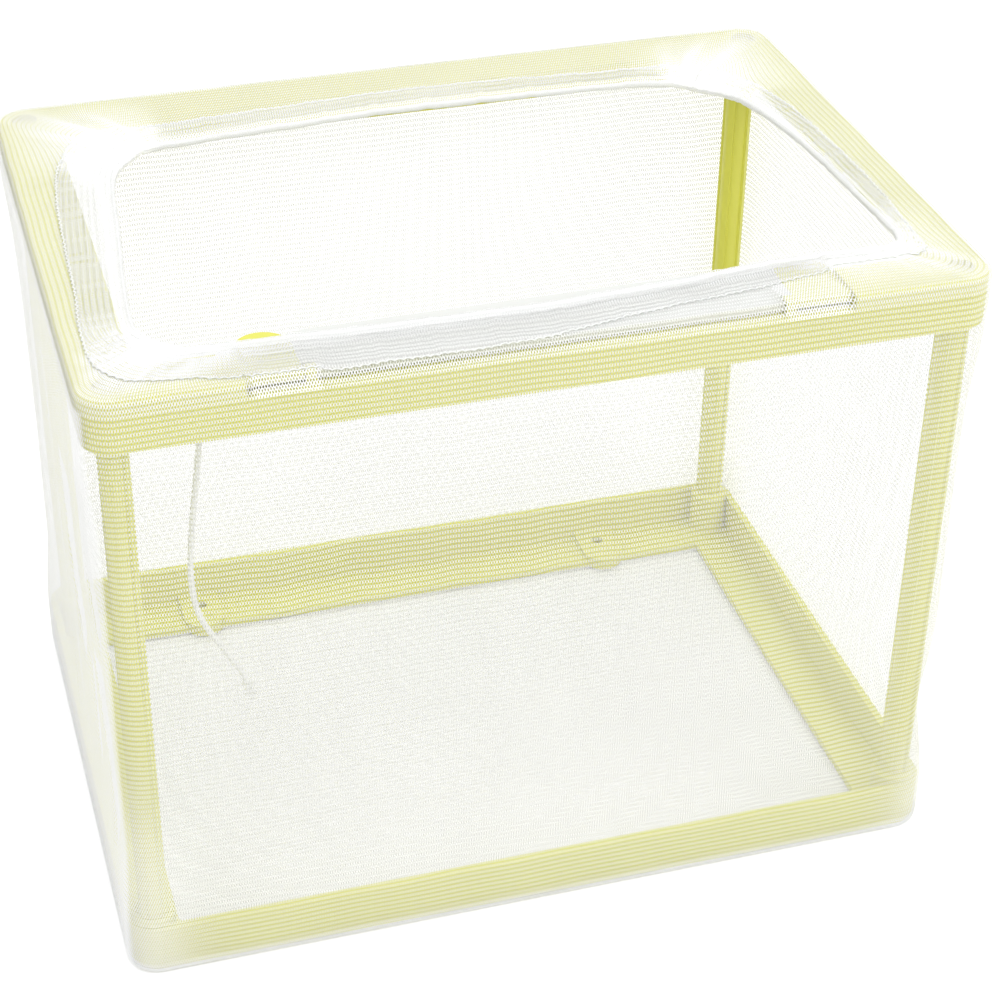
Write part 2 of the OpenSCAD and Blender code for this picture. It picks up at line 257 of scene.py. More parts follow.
def useGroup(tree, group, **values):
    made = node(tree, "ShaderNodeGroup", node_tree=group)
    for key, v in values.items():
        plug(tree, made.inputs[key], v)
    return made


def mixColour(tree, factor, a, b):
    made = node(tree, "ShaderNodeMix", data_type="RGBA")
    plug(tree, made.inputs[0], factor)
    plug(tree, made.inputs[6], a)
    plug(tree, made.inputs[7], b)
    return made.outputs[2]


def newMaterial(name):
    made = bpy.data.materials.new(name)
    made.use_nodes = True
    tree = made.node_tree
    return made, tree, tree.nodes["Principled BSDF"]


def bump(tree, shader, height, strength, distance):
    made = node(tree, "ShaderNodeBump")
    made.inputs["Strength"].default_value = strength
    made.inputs["Distance"].default_value = distance
    plug(tree, made.inputs["Height"], height)
    plug(tree, shader.inputs["Normal"], made.outputs[0])


# Knitted net on a sheet of stitches along U and rows along V, both in millimetres. Threads lie
# where cos 2 pi (stitches + rows) or cos 2 pi (stitches - rows) passes an edge value, so they
# cross as diamonds, and they are thicker on the rows than between them.
knitSettings = {
    "rowPitch": 1.2,       # along V
    "stitch": 0.52,        # along U
    "wave": 0.06,          # how far a row swings with each second stitch, in rows
    "edge": 0.70,          # cosine at a thread's edge: a higher one makes thinner threads
    "swell": 0.27,         # fall of that cosine on a row and its rise between rows
    "packedFall": 0.6,     # its fall where the net is drawn together twice as closely
    "soft": 0.28,          # half the range of the cosine over which a thread's edge fades
    "fuzz": 0.16,          # unevenness of that edge
    "wander": 0.8,         # mm by which rows wander
}


def makeKnitGroup(s):
    tree, given, out = newGroup(
        "knit",
        [("Sheet", "NodeSocketVector", None), ("Packed", "NodeSocketFloat", 1.0)],
        [("Alpha", "NodeSocketFloat"), ("Tone", "NodeSocketFloat")],
    )
    sheet, packed = given.outputs["Sheet"], given.outputs["Packed"]
    parts = node(tree, "ShaderNodeSeparateXYZ")
    plug(tree, parts.inputs[0], sheet)
    u, v = parts.outputs[0], parts.outputs[1]
    slow = noise(tree, sheet, 0.06, 0)
    wander = calc(tree, "MULTIPLY", calc(tree, "SUBTRACT", slow, 0.5), s["wander"])
    swing = calc(tree, "SINE", calc(tree, "MULTIPLY", u, math.pi / s["stitch"]))
    rows = calc(tree, "DIVIDE", calc(tree, "ADD", v, wander), s["rowPitch"])
    rows = calc(tree, "MULTIPLY_ADD", swing, s["wave"], rows)
    stitches = calc(tree, "DIVIDE", u, s["stitch"])

    def cosTurns(turns):
        return calc(tree, "COSINE", calc(tree, "MULTIPLY", turns, 2 * math.pi))

    thread = calc(tree, "MAXIMUM", cosTurns(calc(tree, "ADD", stitches, rows)),
                  cosTurns(calc(tree, "SUBTRACT", stitches, rows)))
    uneven = calc(tree, "SUBTRACT", noise(tree, sheet, 1.4, 1), 0.5)
    uneven = calc(tree, "MULTIPLY", uneven, s["fuzz"])
    edge = calc(tree, "MULTIPLY_ADD", cosTurns(rows), -s["swell"], s["edge"])
    edge = calc(tree, "MULTIPLY_ADD", calc(tree, "SUBTRACT", packed, 1.0), -s["packedFall"], edge)
    edge = calc(tree, "ADD", edge, uneven)
    cover = ramp(tree, thread, calc(tree, "SUBTRACT", edge, s["soft"]),
                 calc(tree, "ADD", edge, s["soft"]), 0.0, 1.0)
    plug(tree, out.inputs["Alpha"], cover)
    plug(tree, out.inputs["Tone"], slow)
    return tree


# Moulded surface: faint flow marks over several millimetres and a fine grain
def makeMouldGroup():
    tree, given, out = newGroup(
        "mouldedSurface",
        [("Place", "NodeSocketVector", None)],
        [("Flow", "NodeSocketFloat"), ("Grain", "NodeSocketFloat")],
    )
    place = given.outputs["Place"]
    plug(tree, out.inputs["Flow"], noise(tree, place, 45.0, 2))
    plug(tree, out.inputs["Grain"], noise(tree, place, 1500.0, 3, 0.6))
    return tree


# Fibres that lie along a cord, as stretched noise on its own length and turn
def makeFibreGroup():
    tree, given, out = newGroup(
        "fibres",
        [("Sheet", "NodeSocketVector", None), ("Lean", "NodeSocketFloat", 1.0)],
        [("Height", "NodeSocketFloat"), ("Tone", "NodeSocketFloat")],
    )
    parts = node(tree, "ShaderNodeSeparateXYZ")
    plug(tree, parts.inputs[0], given.outputs["Sheet"])
    turn = calc(tree, "MULTIPLY_ADD", parts.outputs[0], given.outputs["Lean"], parts.outputs[1])
    joined = node(tree, "ShaderNodeCombineXYZ")
    plug(tree, joined.inputs[0], calc(tree, "MULTIPLY", parts.outputs[0], 0.8))
    plug(tree, joined.inputs[1], calc(tree, "MULTIPLY", turn, 30.0))
    plug(tree, out.inputs["Height"], noise(tree, joined.outputs[0], 1.0, 3, 0.6))
    plug(tree, out.inputs["Tone"], noise(tree, given.outputs["Sheet"], 0.4, 2))
    return tree


knitGroup = makeKnitGroup(knitSettings)
mouldGroup = makeMouldGroup()
fibreGroup = makeFibreGroup()


def uvOf(tree):
    made = node(tree, "ShaderNodeUVMap", uv_map="sheet")
    return made.outputs[0]


def makeNetMaterial(name, tint, paintedLitTint):
    # Yarn with painted light: a lighter tint where the net is drawn together, a painted brightening for the
    # shade that stacked layers of net cast on one another
    made, tree, shader = newMaterial(name)
    packed = node(tree, "ShaderNodeAttribute", attribute_name="packed")
    knit = useGroup(tree, knitGroup, Sheet=uvOf(tree), Packed=packed.outputs["Fac"])
    dark = tuple(c * 0.95 for c in tint) + (1,)
    single = mixColour(tree, knit.outputs["Tone"], dark, tint + (1,))
    # Painted brightening: the colour goes to the lighter tint as packed rises past 1.05
    paintedBrightening = ramp(tree, packed.outputs["Fac"], 1.05, 1.5, 0.0, 1.0)
    plug(tree, shader.inputs["Base Color"], mixColour(tree, paintedBrightening, single, paintedLitTint + (1,)))
    plug(tree, shader.inputs["Alpha"], knit.outputs["Alpha"])
    shader.inputs["Roughness"].default_value = 0.6
    shader.inputs["Specular IOR Level"].default_value = 0.2
    return made


def makeMouldedMaterial(name, colour, deep, roughness, grain):
    made, tree, shader = newMaterial(name)
    place = node(tree, "ShaderNodeTexCoord").outputs["Object"]
    mould = useGroup(tree, mouldGroup, Place=place)
    plug(tree, shader.inputs["Base Color"],
         mixColour(tree, mould.outputs["Flow"], deep + (1,), colour + (1,)))
    plug(tree, shader.inputs["Roughness"],
         ramp(tree, mould.outputs["Grain"], 0.3, 0.7, roughness - 0.05, roughness + 0.07))
    bump(tree, shader, mould.outputs["Grain"], grain, 0.00004)
    return made


def makeCordMaterial(name, tint, lean, depth):
    made, tree, shader = newMaterial(name)
    fibre = useGroup(tree, fibreGroup, Sheet=uvOf(tree), Lean=lean)
    dark = tuple(c * 0.88 for c in tint) + (1,)
    plug(tree, shader.inputs["Base Color"],
         mixColour(tree, fibre.outputs["Tone"], dark, tint + (1,)))
    plug(tree, shader.inputs["Roughness"], ramp(tree, fibre.outputs["Height"], 0.3, 0.7, 0.6, 0.8))
    bump(tree, shader, fibre.outputs["Height"], 0.6, depth)
    return made


# The second tint is the painted light on the drawn-together net
netMaterial = makeNetMaterial("knittedNet", (0.87, 0.875, 0.86), (0.96, 0.965, 0.96))
limeMaterial = makeMouldedMaterial("limePlastic", (0.76, 0.755, 0.13), (0.73, 0.72, 0.10), 0.34, 0.15)
milkMaterial = makeMouldedMaterial("milkyPlastic", (0.75, 0.76, 0.73), (0.72, 0.73, 0.70), 0.45, 0.1)
elasticMaterial = makeCordMaterial("braidedElastic", (0.96, 0.97, 0.96), 0.5, 0.0001)
stringMaterial = makeCordMaterial("twistedString", (0.97, 0.97, 0.95), 0.0, 0.00006)
threadMaterial = makeCordMaterial("sewingThread", (0.96, 0.97, 0.96), 1.5, 0.00005)
print("materials made")

for name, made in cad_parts.items():
    if name.startswith(("top_ring", "bottom_ring", "post_", "hanger_")):
        made.data.materials.clear()
        made.data.materials.append(milkMaterial if name == "hanger_plate" else limeMaterial)


# Drawstring's loose end: three twisted strands that leave the hem by the left hanger arm
stringSettings = {
    "diameter": 1.2,
    "route": [(-61, 133.4), (-61.2, 130), (-61.9, 124), (-62.8, 116), (-63.8, 108), (-64.9, 100),
              (-65.8, 92), (-66.2, 85), (-65.8, 79), (-64.4, 74), (-62.2, 69.5), (-59.8, 65),
              (-57.8, 61), (-56.6, 57.6)],      # x and z
    "plane": -46.1,                             # y
    "lay": 3.4,                                 # mm for one turn of a strand
    "ringStep": 0.22,
}


def openCurve(points, step):
    # Catmull-Rom curve through the points, in pieces of about one step
    p = np.array(points, float)
    padded = np.concatenate([p[:1], p, p[-1:]])
    share = np.linspace(0, 1, 24, endpoint=False)[None, :, None]
    a, b, c, d = (padded[k:k + len(p) - 1, None] for k in range(4))
    curve = 0.5 * (2 * b + (c - a) * share + (2 * a - 5 * b + 4 * c - d) * share ** 2
                   + (3 * b - a - 3 * c + d) * share ** 3)
    curve = np.concatenate([curve.reshape(-1, 3), p[-1:]])
    length = alongLine(curve)
    at = np.linspace(0, length[-1], max(2, round(length[-1] / step) + 1))
    return pointsAt(at, length, curve), at


def makeDrawstring(s):
    route = [(x, s["plane"], z) for x, z in s["route"]]
    path, at = openCurve(route, s["ringStep"])
    r = s["diameter"] / 2

    def strands(angle):
        # Radius of three round strands that turn once every lay
        turn = 1.5 * (angle[None, :] - 2 * math.pi * at[:, None] / s["lay"])
        return r * (0.78 + 0.26 * np.abs(np.cos(turn)))

    tail = tubeObject("drawstringTail", [tube(path, r, 24, (0.0, 1.0, 0.0), strands)], stringMaterial)
    # Overhand knot as a trefoil: (sin t + 2 sin 2t, cos t - 2 cos 2t, -sin 3t)
    t = np.linspace(0, 2 * math.pi, 72, endpoint=False)
    loop = np.stack([np.sin(t) + 2 * np.sin(2 * t), -np.sin(3 * t) * 1.1, np.cos(t) - 2 * np.cos(2 * t)], 1)
    end = path[-1]
    knot = [tube(loop * 0.33 + end, 0.42, 12, (0.0, 1.0, 0.0), closed=True)]
    # Loose fibres below the knot, each a short bent hair
    for k in range(14):
        angle = k * 2.4
        spread = 0.25 + 0.11 * (k % 5)
        length = 2.2 + 0.25 * (k % 4)
        share = np.linspace(0, 1, 7)[:, None]
        out = np.array([math.cos(angle), math.sin(angle), 0])
        hair = end + [0.3, 0, -0.4] + share * [0.35, 0, -length] + share ** 2 * out * spread * 2
        knot.append(tube(hair, 0.07, 5, (0.2, 1.0, 0.1)))
    knotPiece = tubeObject("drawstringKnot", knot, stringMaterial)
    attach(tail, "frame")
    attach(knotPiece, "frame")
    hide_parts("drawstring_tail")
    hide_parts("drawstring_knot")


makeDrawstring(stringSettings)
print("drawstring made")

# Net bag. Its stations run round the box counterclockwise seen from above, from the middle of
# the left side: down the left, the front, the right and the back.
bagSettings = {
    "cornerRadius": 6.6,
    "stationStep": 0.5,
    "edgeRound": 1.1,      # round of the net over the rings' edges
    "overRing": 0.2,       # gap of the net over a ring's face
    "floorLift": 0.15,
}
turn = bagSettings["cornerRadius"]
innerX, innerY = halfX - turn, halfY - turn
arc = turn * math.pi / 2
runs = np.array([innerY, arc, 2 * innerX, arc, 2 * innerY, arc, 2 * innerX, arc, innerY])
runEnds = np.cumsum(runs)
around = runEnds[-1]
cornerMiddles = {"frontLeft": runEnds[0] + arc / 2, "frontRight": runEnds[2] + arc / 2,
                 "backRight": runEnds[4] + arc / 2, "backLeft": runEnds[6] + arc / 2}


def onLoop(u):
    # Point and outward direction at a distance u round the box: a centre that follows the inner
    # rectangle, plus the corner radius along a direction that turns only on the corners
    u = u % around
    k = np.minimum(np.searchsorted(runEnds, u, side="right"), 8)
    t = u - (runEnds - runs)[k]
    base = np.array([(-innerX, 0), (-innerX, -innerY), (-innerX, -innerY), (innerX, -innerY),
                     (innerX, -innerY), (innerX, innerY), (innerX, innerY), (-innerX, innerY),
                     (-innerX, innerY)])
    ahead = np.array([(0, -1), (0, 0), (1, 0), (0, 0), (0, 1), (0, 0), (-1, 0), (0, 0), (0, -1)])
    start = np.radians([180, 180, 270, 270, 360, 360, 450, 450, 540])
    angle = start[k] + np.where(k % 2 == 1, t / turn, 0)
    normal = np.stack([np.cos(angle), np.sin(angle)], 1)
    return base[k] + ahead[k] * t[:, None] + turn * normal, normal


def fromCorner(u, corner):
    # Signed distance along the loop from a corner's middle
    return (u - cornerMiddles[corner] + around / 2) % around - around / 2


def evenSteps(a, b, step):
    return np.linspace(a, b, round((b - a) / step), endpoint=False)


slipStart = runEnds[1] + innerX - slipHalf
slipEnd = slipStart + 2 * slipHalf
step = bagSettings["stationStep"]
stations = np.concatenate([evenSteps(0, slipStart, step), evenSteps(slipStart, slipEnd, step),
                           evenSteps(slipEnd, around, step)])
slipFirst = round(slipStart / step)
slipLast = slipFirst + round((slipEnd - slipStart) / step)
outer, outward = onLoop(stations)
alongU = np.append(stations, around)

# Where the hem and its seam lie, as x, y, z round the mouth
hemPoints = [
    (-68.5, -44, 133.6), (-65.4, -46.3, 133.7), (-62, -47, 133.7), (-58.4, -46.9, 133.7),
    (-52.9, -47.2, 133.7), (-43.8, -47.3, 133.7), (-34.9, -47.8, 133.7), (-25.9, -48, 133.7),
    (-17, -48.2, 133.7), (-7.9, -48.3, 133.7), (1.5, -48.4, 133.7), (11.5, -47.7, 133.7),
    (19.1, -47.3, 133.7), (29.1, -46.6, 133.7), (35.4, -45.6, 133.7), (43.6, -44.8, 133.7),
    (52.3, -44.2, 133.6), (61.7, -44.4, 133.5), (65.7, -44.7, 133.5), (69.8, -44.4, 133.5),
    (72.6, -42.8, 133.4), (73.6, -39.5, 133.3), (73.7, -36, 133.2), (73.7, -31, 133.1),
    (73.4, -22, 133), (72.8, -6.4, 133), (71.1, 10.4, 133), (67.8, 24.8, 133),
    (62.4, 34.9, 131.7), (57.2, 39.4, 131.7), (50.8, 41.2, 131.7), (41.8, 41.9, 131.7),
    (30.7, 42.3, 131.7), (19.7, 42.7, 131.7), (8.6, 42.7, 131.7), (-2.3, 42.8, 131.7),
    (-13.2, 42.3, 131.7), (-24.2, 41.3, 131.7), (-34.9, 40.5, 131.7), (-45.5, 39.5, 131.7),
    (-56.1, 38.1, 131.7), (-61, 34.5, 131.7), (-66.5, 22, 133.2), (-69, 0, 133.2),
    (-71.2, -20, 133.2), (-72.2, -35.4, 133.4), (-70.9, -40.5, 133.6),
]
seamPoints = [
    (-79.5, -51, 133.8), (-75.5, -54.8, 133.8), (-70.5, -55.5, 133.8), (-65.4, -56.2, 133.8),
    (-60.5, -57.6, 133.8), (-53.6, -58.2, 133.8), (-46.6, -58.2, 133.8), (-37.8, -58.2, 133.8),
    (-28.8, -58.1, 133.8), (-19.8, -58.2, 133.8), (-10.7, -58.1, 133.8), (0.6, -57.6, 133.8),
    (10.6, -55.7, 133.8), (20.7, -54, 133.8), (28.8, -52.9, 133.8), (36.6, -52.2, 133.8),
    (47.2, -50.5, 133.8), (56.3, -48.9, 133.8), (62.3, -48.6, 133.8), (67.8, -48.9, 133.8),
    (72.2, -48.8, 133.8), (75.3, -47.8, 133.8), (76.3, -43.5, 133.8), (76.6, -36.9, 133.8),
    (77.3, -28.1, 133.8), (77.5, -18.3, 133.8), (77.4, -8.7, 133.8), (76.6, 4.5, 133.8),
    (75.5, 17.7, 133.8), (73, 28.3, 133.8), (70, 35, 133.8), (65.5, 40, 133.8),
    (58.5, 43.4, 133.8), (51.7, 44.3, 133.8), (42.7, 44.6, 133.8), (31.7, 45.5, 133.8),
    (20.8, 46.4, 133.8), (-1.1, 47.2, 133.8), (-23.1, 46, 133.8), (-44.6, 44.4, 133.8),
    (-55.2, 43.6, 133.8), (-63.2, 44.6, 133.8), (-67.3, 44, 133.8), (-71.4, 41, 133.8),
    (-74.3, 34.3, 133.8), (-76.6, 27.2, 133.8), (-77.8, 18.7, 133.8), (-78.6, 10, 133.8),
    (-79.4, -5, 133.8), (-80.2, -23.8, 133.8), (-80.9, -31, 133.8), (-81.2, -38.2, 133.8),
    (-81, -46, 133.8),
]
mouthCore = {"x": 56.5, "low": -34.0, "high": 30.0, "radius": 13.0}


def closedCurve(knots, values, at):
    # Cubic through the values at their knots, closed over the whole way round; the slope at a
    # knot is that of the line between its two neighbours
    order = np.argsort(knots)
    k, v = knots[order], values[order]
    before, after = np.roll(k, 1), np.roll(k, -1)
    before[0] -= around
    after[-1] += around
    slope = (np.roll(v, -1, 0) - np.roll(v, 1, 0)) / (after - before)[:, None]
    i = (np.searchsorted(k, at, side="right") - 1) % len(k)
    gap = (after - k)[i][:, None]
    t = ((at - k[i]) % around)[:, None] / gap
    j = (i + 1) % len(k)
    return ((2 * t ** 3 - 3 * t ** 2 + 1) * v[i] + (t ** 3 - 2 * t ** 2 + t) * gap * slope[i]
            + (3 * t ** 2 - 2 * t ** 3) * v[j] + (t ** 3 - t ** 2) * gap * slope[j])


def mouthLoop(points):
    # Each listed point belongs to the station whose place on the plain mouth is nearest
    core = np.stack([np.clip(outer[:, 0], -mouthCore["x"], mouthCore["x"]),
                     np.clip(outer[:, 1], mouthCore["low"], mouthCore["high"])], 1)
    plain = core + mouthCore["radius"] * unitRows(outer - core)
    p = np.array(points, float)
    nearest = np.argmin(np.linalg.norm(p[:, None, :2] - plain[None], axis=2), axis=1)
    return closedCurve(stations[nearest], p, stations)


hem = mouthLoop(hemPoints)
seam = mouthLoop(seamPoints)

# Soft pleats where the corners' net is drawn in: distance from the corner's middle at the ring's
# edge and at the seam, half width, height, and how much closer the net is drawn together there
pleats = {
    "frontLeft": [(-16, -10, 4.2, 0.35, 0.5), (-8, -5, 4.0, 0.45, 0.7), (0, 0, 4.4, 0.5, 0.8),
                  (8, 5, 4.2, 0.4, 0.6)],
    "frontRight": [(-9, -8, 3.6, 0.3, 0.4), (-3, -3, 3.4, 0.45, 0.7), (5, 4, 3.4, 0.4, 0.6)],
    "backRight": [(0, 0, 4.2, 0.5, 0.9), (10, 16, 4.2, 0.5, 0.9), (22, 25, 3.8, 0.25, 0.4)],
    "backLeft": [(-12, -18, 4.4, 0.4, 0.7), (-3, -5, 4.2, 0.45, 0.8), (8, 6, 4.2, 0.35, 0.6)],
}


def pleatShape(share):
    # Height and gathering of the net: raised cosines across each pleat, grown towards the hem
    u = stations[None, :] * np.ones_like(share)
    lift, gather = np.zeros_like(share), np.zeros_like(share)
    grown = smoothStep(0.05, 0.85, share)
    for corner, rows in pleats.items():
        offset = fromCorner(u, corner)
        for edge, inner, half, height, closer in rows:
            t = np.clip((offset - edge - (inner - edge) * np.minimum(share, 1.2)) / half, -1, 1)
            across = 0.5 * (1 + np.cos(math.pi * t)) * grown
            lift += height * across
            gather += closer * across
    return lift, gather


# The net over the front bar sinks into the hanger's recess and climbs over the folded plate
recessSettings = {
    "outer": slipHalf - 0.3, "inner": slipHalf - 2.0,
    "low": wallTop + 0.5, "plate": plateHigh[2] + 0.25,
    "knuckleTop": ringTop + 0.15, "knuckleInner": 43.4,
    "knuckleFront": (-60.2, -58.6), "knuckleBack": (-52.6, -54.8),   # y where the bump rises, falls
}


def inRecess(x, y):
    return smoothStep(recessSettings["outer"], recessSettings["inner"], np.abs(x)) * (y < 0)


def supportHeight(x, y):
    # Height of what carries the net: the flange, or the climb from the low wall to the plate,
    # with a bump over the knuckles and barrels beside the arms
    flange = ringTop + bagSettings["overRing"]
    s = recessSettings
    climb = s["low"] + (s["plate"] - s["low"]) * smoothStep(-halfY + 0.4, plateLow[1] + 0.2, y)
    knuckle = smoothStep(s["knuckleInner"] - 1.6, s["knuckleInner"], np.abs(x))
    knuckle = knuckle * smoothStep(*s["knuckleFront"], y) * smoothStep(*s["knuckleBack"], y)
    climb = climb + (s["knuckleTop"] - climb) * knuckle
    return flange + (climb - flange) * inRecess(x, y)


# Rim of the bag, from the wall's top to the hem. Each row has a share of the way: 0 at the ring's
# edge, 1 at the seam, 1.6 at the cord and 1.7 in the fold round it.
rimSettings = {
    "rows": 14, "bandRows": 11, "foldRows": 11,
    "lowRound": 0.4,       # round of the net over the low wall's edge, in the recess
    "fold": 0.78,          # radius of the hem's fold round the cord
    "bandLift": 0.35,      # of the hem's upper layer at the seam, over what carries it
    "underLift": 0.02,     # the same of its under layer
    "flange": 11.6,        # how far in a flange lies under the net
    "ripples": [(0.10, 3.7, (0.5, 1.3)), (0.12, 11.3, (0.2, 1.0))],   # height, length, growth
    "calm": 0.35,          # share of a pleat's height that the fold keeps
    # How much closer the net is drawn together on the rim, on the hem, near the cord, and on the
    # rim in the recess where x is past closeFrom, over the knuckles and arms
    # These offsets also raise the painted brightening of the net's colour
    "rimPacked": 0.25, "bandPacked": 0.15, "foldPacked": 0.6, "recessPacked": 0.35,
    "closeFrom": 43,
    "bandStart": 200.0,    # V at the fold, so that the hem's rows don't follow on from the rim's
}


def rimNet():
    # Rows from the wall's top over the ring's edge to the seam
    e, low = bagSettings["edgeRound"], rimSettings["lowRound"]
    flange = ringTop + bagSettings["overRing"]
    angle = np.radians([0, 22, 45, 68, 90])
    flatRows = np.linspace(0, 1, rimSettings["rows"] + 1)[1:]
    recessed = inRecess(outer[:, 0], outer[:, 1])[None, :]
    lipIn = np.concatenate([[0, 0], e - e * np.cos(angle)])[:, None]
    lipUp = np.concatenate([[wallTop, wallTop + 1.2], flange - e + e * np.sin(angle)])[:, None]
    lowIn = np.concatenate([[0, 0], low - low * np.cos(angle)])[:, None]
    lowUp = np.concatenate([[wallTop, wallTop + 0.05], wallTop + 0.1 + low * np.sin(angle)])[:, None]
    inset = lipIn + (lowIn - lipIn) * recessed
    height = lipUp + (lowUp - lipUp) * recessed
    lip = np.concatenate([outer[None] - outward[None] * inset[..., None], height[..., None]], 2)
    edge = lip[-1, :, :2]
    flat = edge[None] + (seam[None, :, :2] - edge[None]) * flatRows[:, None, None]
    flatUp = supportHeight(flat[..., 0], flat[..., 1])
    points = np.concatenate([lip, np.concatenate([flat, flatUp[..., None]], 2)])
    share = np.concatenate([np.full(len(lip), 0.0), flatRows])[:, None] * np.ones_like(stations)
    return points, share


def bandNet():
    # The hem: a top layer from the seam to the cord, a half turn round it and an under layer back
    s = rimSettings
    r = s["fold"]
    top = np.linspace(0, 1, s["bandRows"])[:, None]
    angle = np.radians(np.linspace(90, -90, s["foldRows"]))[1:-1][:, None]
    inwards = unitRows(hem[:, :2] - seam[:, :2])
    topPlane = seam[None, :, :2] + (hem[:, :2] - seam[:, :2])[None] * top[..., None]
    carried = supportHeight(topPlane[..., 0], topPlane[..., 1])
    reach = smoothStep(0.3, 1.0, top)
    topUp = (carried + s["bandLift"]) * (1 - reach) + (hem[None, :, 2] + r) * reach
    foldPlane = hem[None, :, :2] + inwards[None] * (r * np.cos(angle))[..., None]
    foldUp = hem[None, :, 2] + r * np.sin(angle)
    underPlane = topPlane[::-1]
    underUp = (carried + s["underLift"]) * (1 - reach) + (hem[None, :, 2] - r) * reach
    resting = overFlange(topPlane[..., 0], topPlane[..., 1])
    underUp = np.maximum(underUp, np.where(resting, carried - s["underLift"], 0))[::-1]
    plane = np.concatenate([topPlane, foldPlane, underPlane])
    up = np.concatenate([topUp, foldUp * np.ones_like(stations), underUp])
    points = np.concatenate([plane, up[..., None]], 2)
    share = np.concatenate([1 + 0.6 * top, np.full_like(angle, 1.7), 1 + 0.6 * top[::-1]])
    return points, share * np.ones_like(stations)


def overFlange(x, y):
    # Where a solid face lies right under the net: the flange, or the plate in the recess
    flange = rimSettings["flange"]
    out = (np.abs(x) > halfX - flange) | (np.abs(y) > halfY - flange)
    return np.where(inRecess(x, y) > 0.5, y < plateHigh[1], out)


def wrinkle(points, share):
    # Pleats at the corners and small ripples from the elastic, which grow towards the hem
    u = stations[None, :] * np.ones_like(share)
    (fine, fineLength, fineGrowth), (wide, wideLength, wideGrowth) = rimSettings["ripples"]
    ripple = fine * np.sin(u * 2 * math.pi / fineLength + 1.3 * np.sin(u / 9))
    ripple *= smoothStep(*fineGrowth, share)
    ripple += wide * np.sin(u * 2 * math.pi / wideLength + share * 2) * smoothStep(*wideGrowth, share)
    calm = np.where(share > 1.55, rimSettings["calm"], 1.0)
    shifted = points.copy()
    shifted[..., 2] += pleatShape(share)[0] * calm + np.maximum(ripple, -0.03)
    return shifted


def meridian(points):
    # Distance along each station's line from its first row
    steps = np.linalg.norm(np.diff(points, axis=0), axis=2)
    return np.concatenate([np.zeros((1, points.shape[1])), np.cumsum(steps, axis=0)])


def packing(points):
    # How closely the net is drawn together along the rows, 1 where it is flat
    spacing = np.linalg.norm(np.roll(points, -1, 1) - points, axis=2)
    flatSpacing = np.diff(alongU)[None]
    packed = np.clip(flatSpacing / np.maximum(spacing, 1e-3), 1, 2.6)
    kernel = np.ones(7) / 7
    wrapped = np.concatenate([packed[:, -3:], packed, packed[:, :3]], 1)
    return np.apply_along_axis(lambda row: np.convolve(row, kernel, "valid"), 1, wrapped)


rimFlat, rimShare = rimNet()
bandFlat, bandShare = bandNet()
overArms = inRecess(rimFlat[..., 0], rimFlat[..., 1])
overArms = overArms * (np.abs(rimFlat[..., 0]) > rimSettings["closeFrom"])
rimPacked = packing(rimFlat) + rimSettings["rimPacked"] + pleatShape(rimShare)[1]
rimPacked += rimSettings["recessPacked"] * overArms
bandPacked = packing(bandFlat) + pleatShape(bandShare)[1]
bandPacked += np.where(bandShare > 1.45, rimSettings["foldPacked"], rimSettings["bandPacked"])
rimV = meridian(rimFlat) + wallTop
bandV = meridian(bandFlat)
foldMiddle = rimSettings["bandRows"] + (rimSettings["foldRows"] - 2) // 2
bandV = bandV - bandV[foldMiddle] + rimSettings["bandStart"]
rimPoints, bandPoints = wrinkle(rimFlat, rimShare), wrinkle(bandFlat, bandShare)


def continued(first, last):
    # Station numbers from first to last, past the start of the loop where last is before first
    count = len(stations)
    return np.arange(first, last + 1 if last > first else last + count + 1)


def stationU(columns):
    count = len(stations)
    return stations[columns % count] + around * (columns // count)


def rimMesh(name, columns):
    u = stationU(columns)
    chosen = columns % len(stations)
    parts, faces, uvs, packs, first = [], [], [], [], 0
    for points, v, packed in ((rimPoints, rimV, rimPacked), (bandPoints, bandV, bandPacked)):
        p = points[:, chosen]
        index, cornerRow, cornerColumn = gridFaces(p.shape[0], p.shape[1], False, first)
        parts.append(p.reshape(-1, 3))
        faces.append(index)
        uvs.append(gridUv(u, v[:, chosen], cornerRow, cornerColumn))
        packs.append(packed[:, chosen].ravel())
        first += p.shape[0] * p.shape[1]
    return meshObject(name, np.concatenate(parts), np.concatenate(faces), netMaterial,
                      np.concatenate(uvs), np.concatenate(packs))


frontColumns = continued(slipFirst, slipLast)
sideColumns = continued(slipLast, slipFirst)


# Elastic cord in the hem's fold, and the zigzag thread over its seam
cordSettings = {"step": 0.5, "core": 0.58, "strand": 0.07, "lay": 1.9, "sides": 18}
stitchSettings = {"step": 0.4, "end": 0.2, "swing": 0.24, "middleUp": 0.3, "sideUp": 0.18,
                  "radius": 0.16}


def makeHemCord(name, columns):
    s = cordSettings
    line = hem[columns % len(stations)]
    length = alongLine(line)
    at = np.linspace(0, length[-1], round(length[-1] / s["step"]) + 1)

    def braid(angle):
        # Crossing strands: the higher of two waves that wind opposite ways
        wound = at[:, None] * 2 * math.pi / s["lay"]
        high = np.maximum(np.cos(3 * angle[None] + wound), np.cos(3 * angle[None] - wound))
        return s["core"] + s["strand"] * high

    path = pointsAt(at, length, line)
    return tubeObject(name, [tube(path, s["core"], s["sides"], (0.0, 0.0, 1.0), braid)], elasticMaterial)


def makeStitches(name, columns):
    # From one side of the seam to the other at every second step
    s = stitchSettings
    chosen = columns % len(stations)
    line = rimPoints[-1, chosen]
    length = alongLine(line)
    count = round(length[-1] / s["step"])
    at = np.linspace(s["end"], length[-1] - s["end"], count)
    base = pointsAt(at, length, line)
    direction = pointsAt(at, length, unitRows(hem[chosen, :2] - seam[chosen, :2]))
    swing = np.array([0, 1, 0, -1])[np.arange(count) % 4]
    base[:, :2] += direction * (s["swing"] * swing)[:, None]
    base[:, 2] += np.where(swing == 0, s["middleUp"], s["sideUp"])
    return tubeObject(name, [tube(base, s["radius"], 6, (0.0, 0.0, 1.0))], threadMaterial)


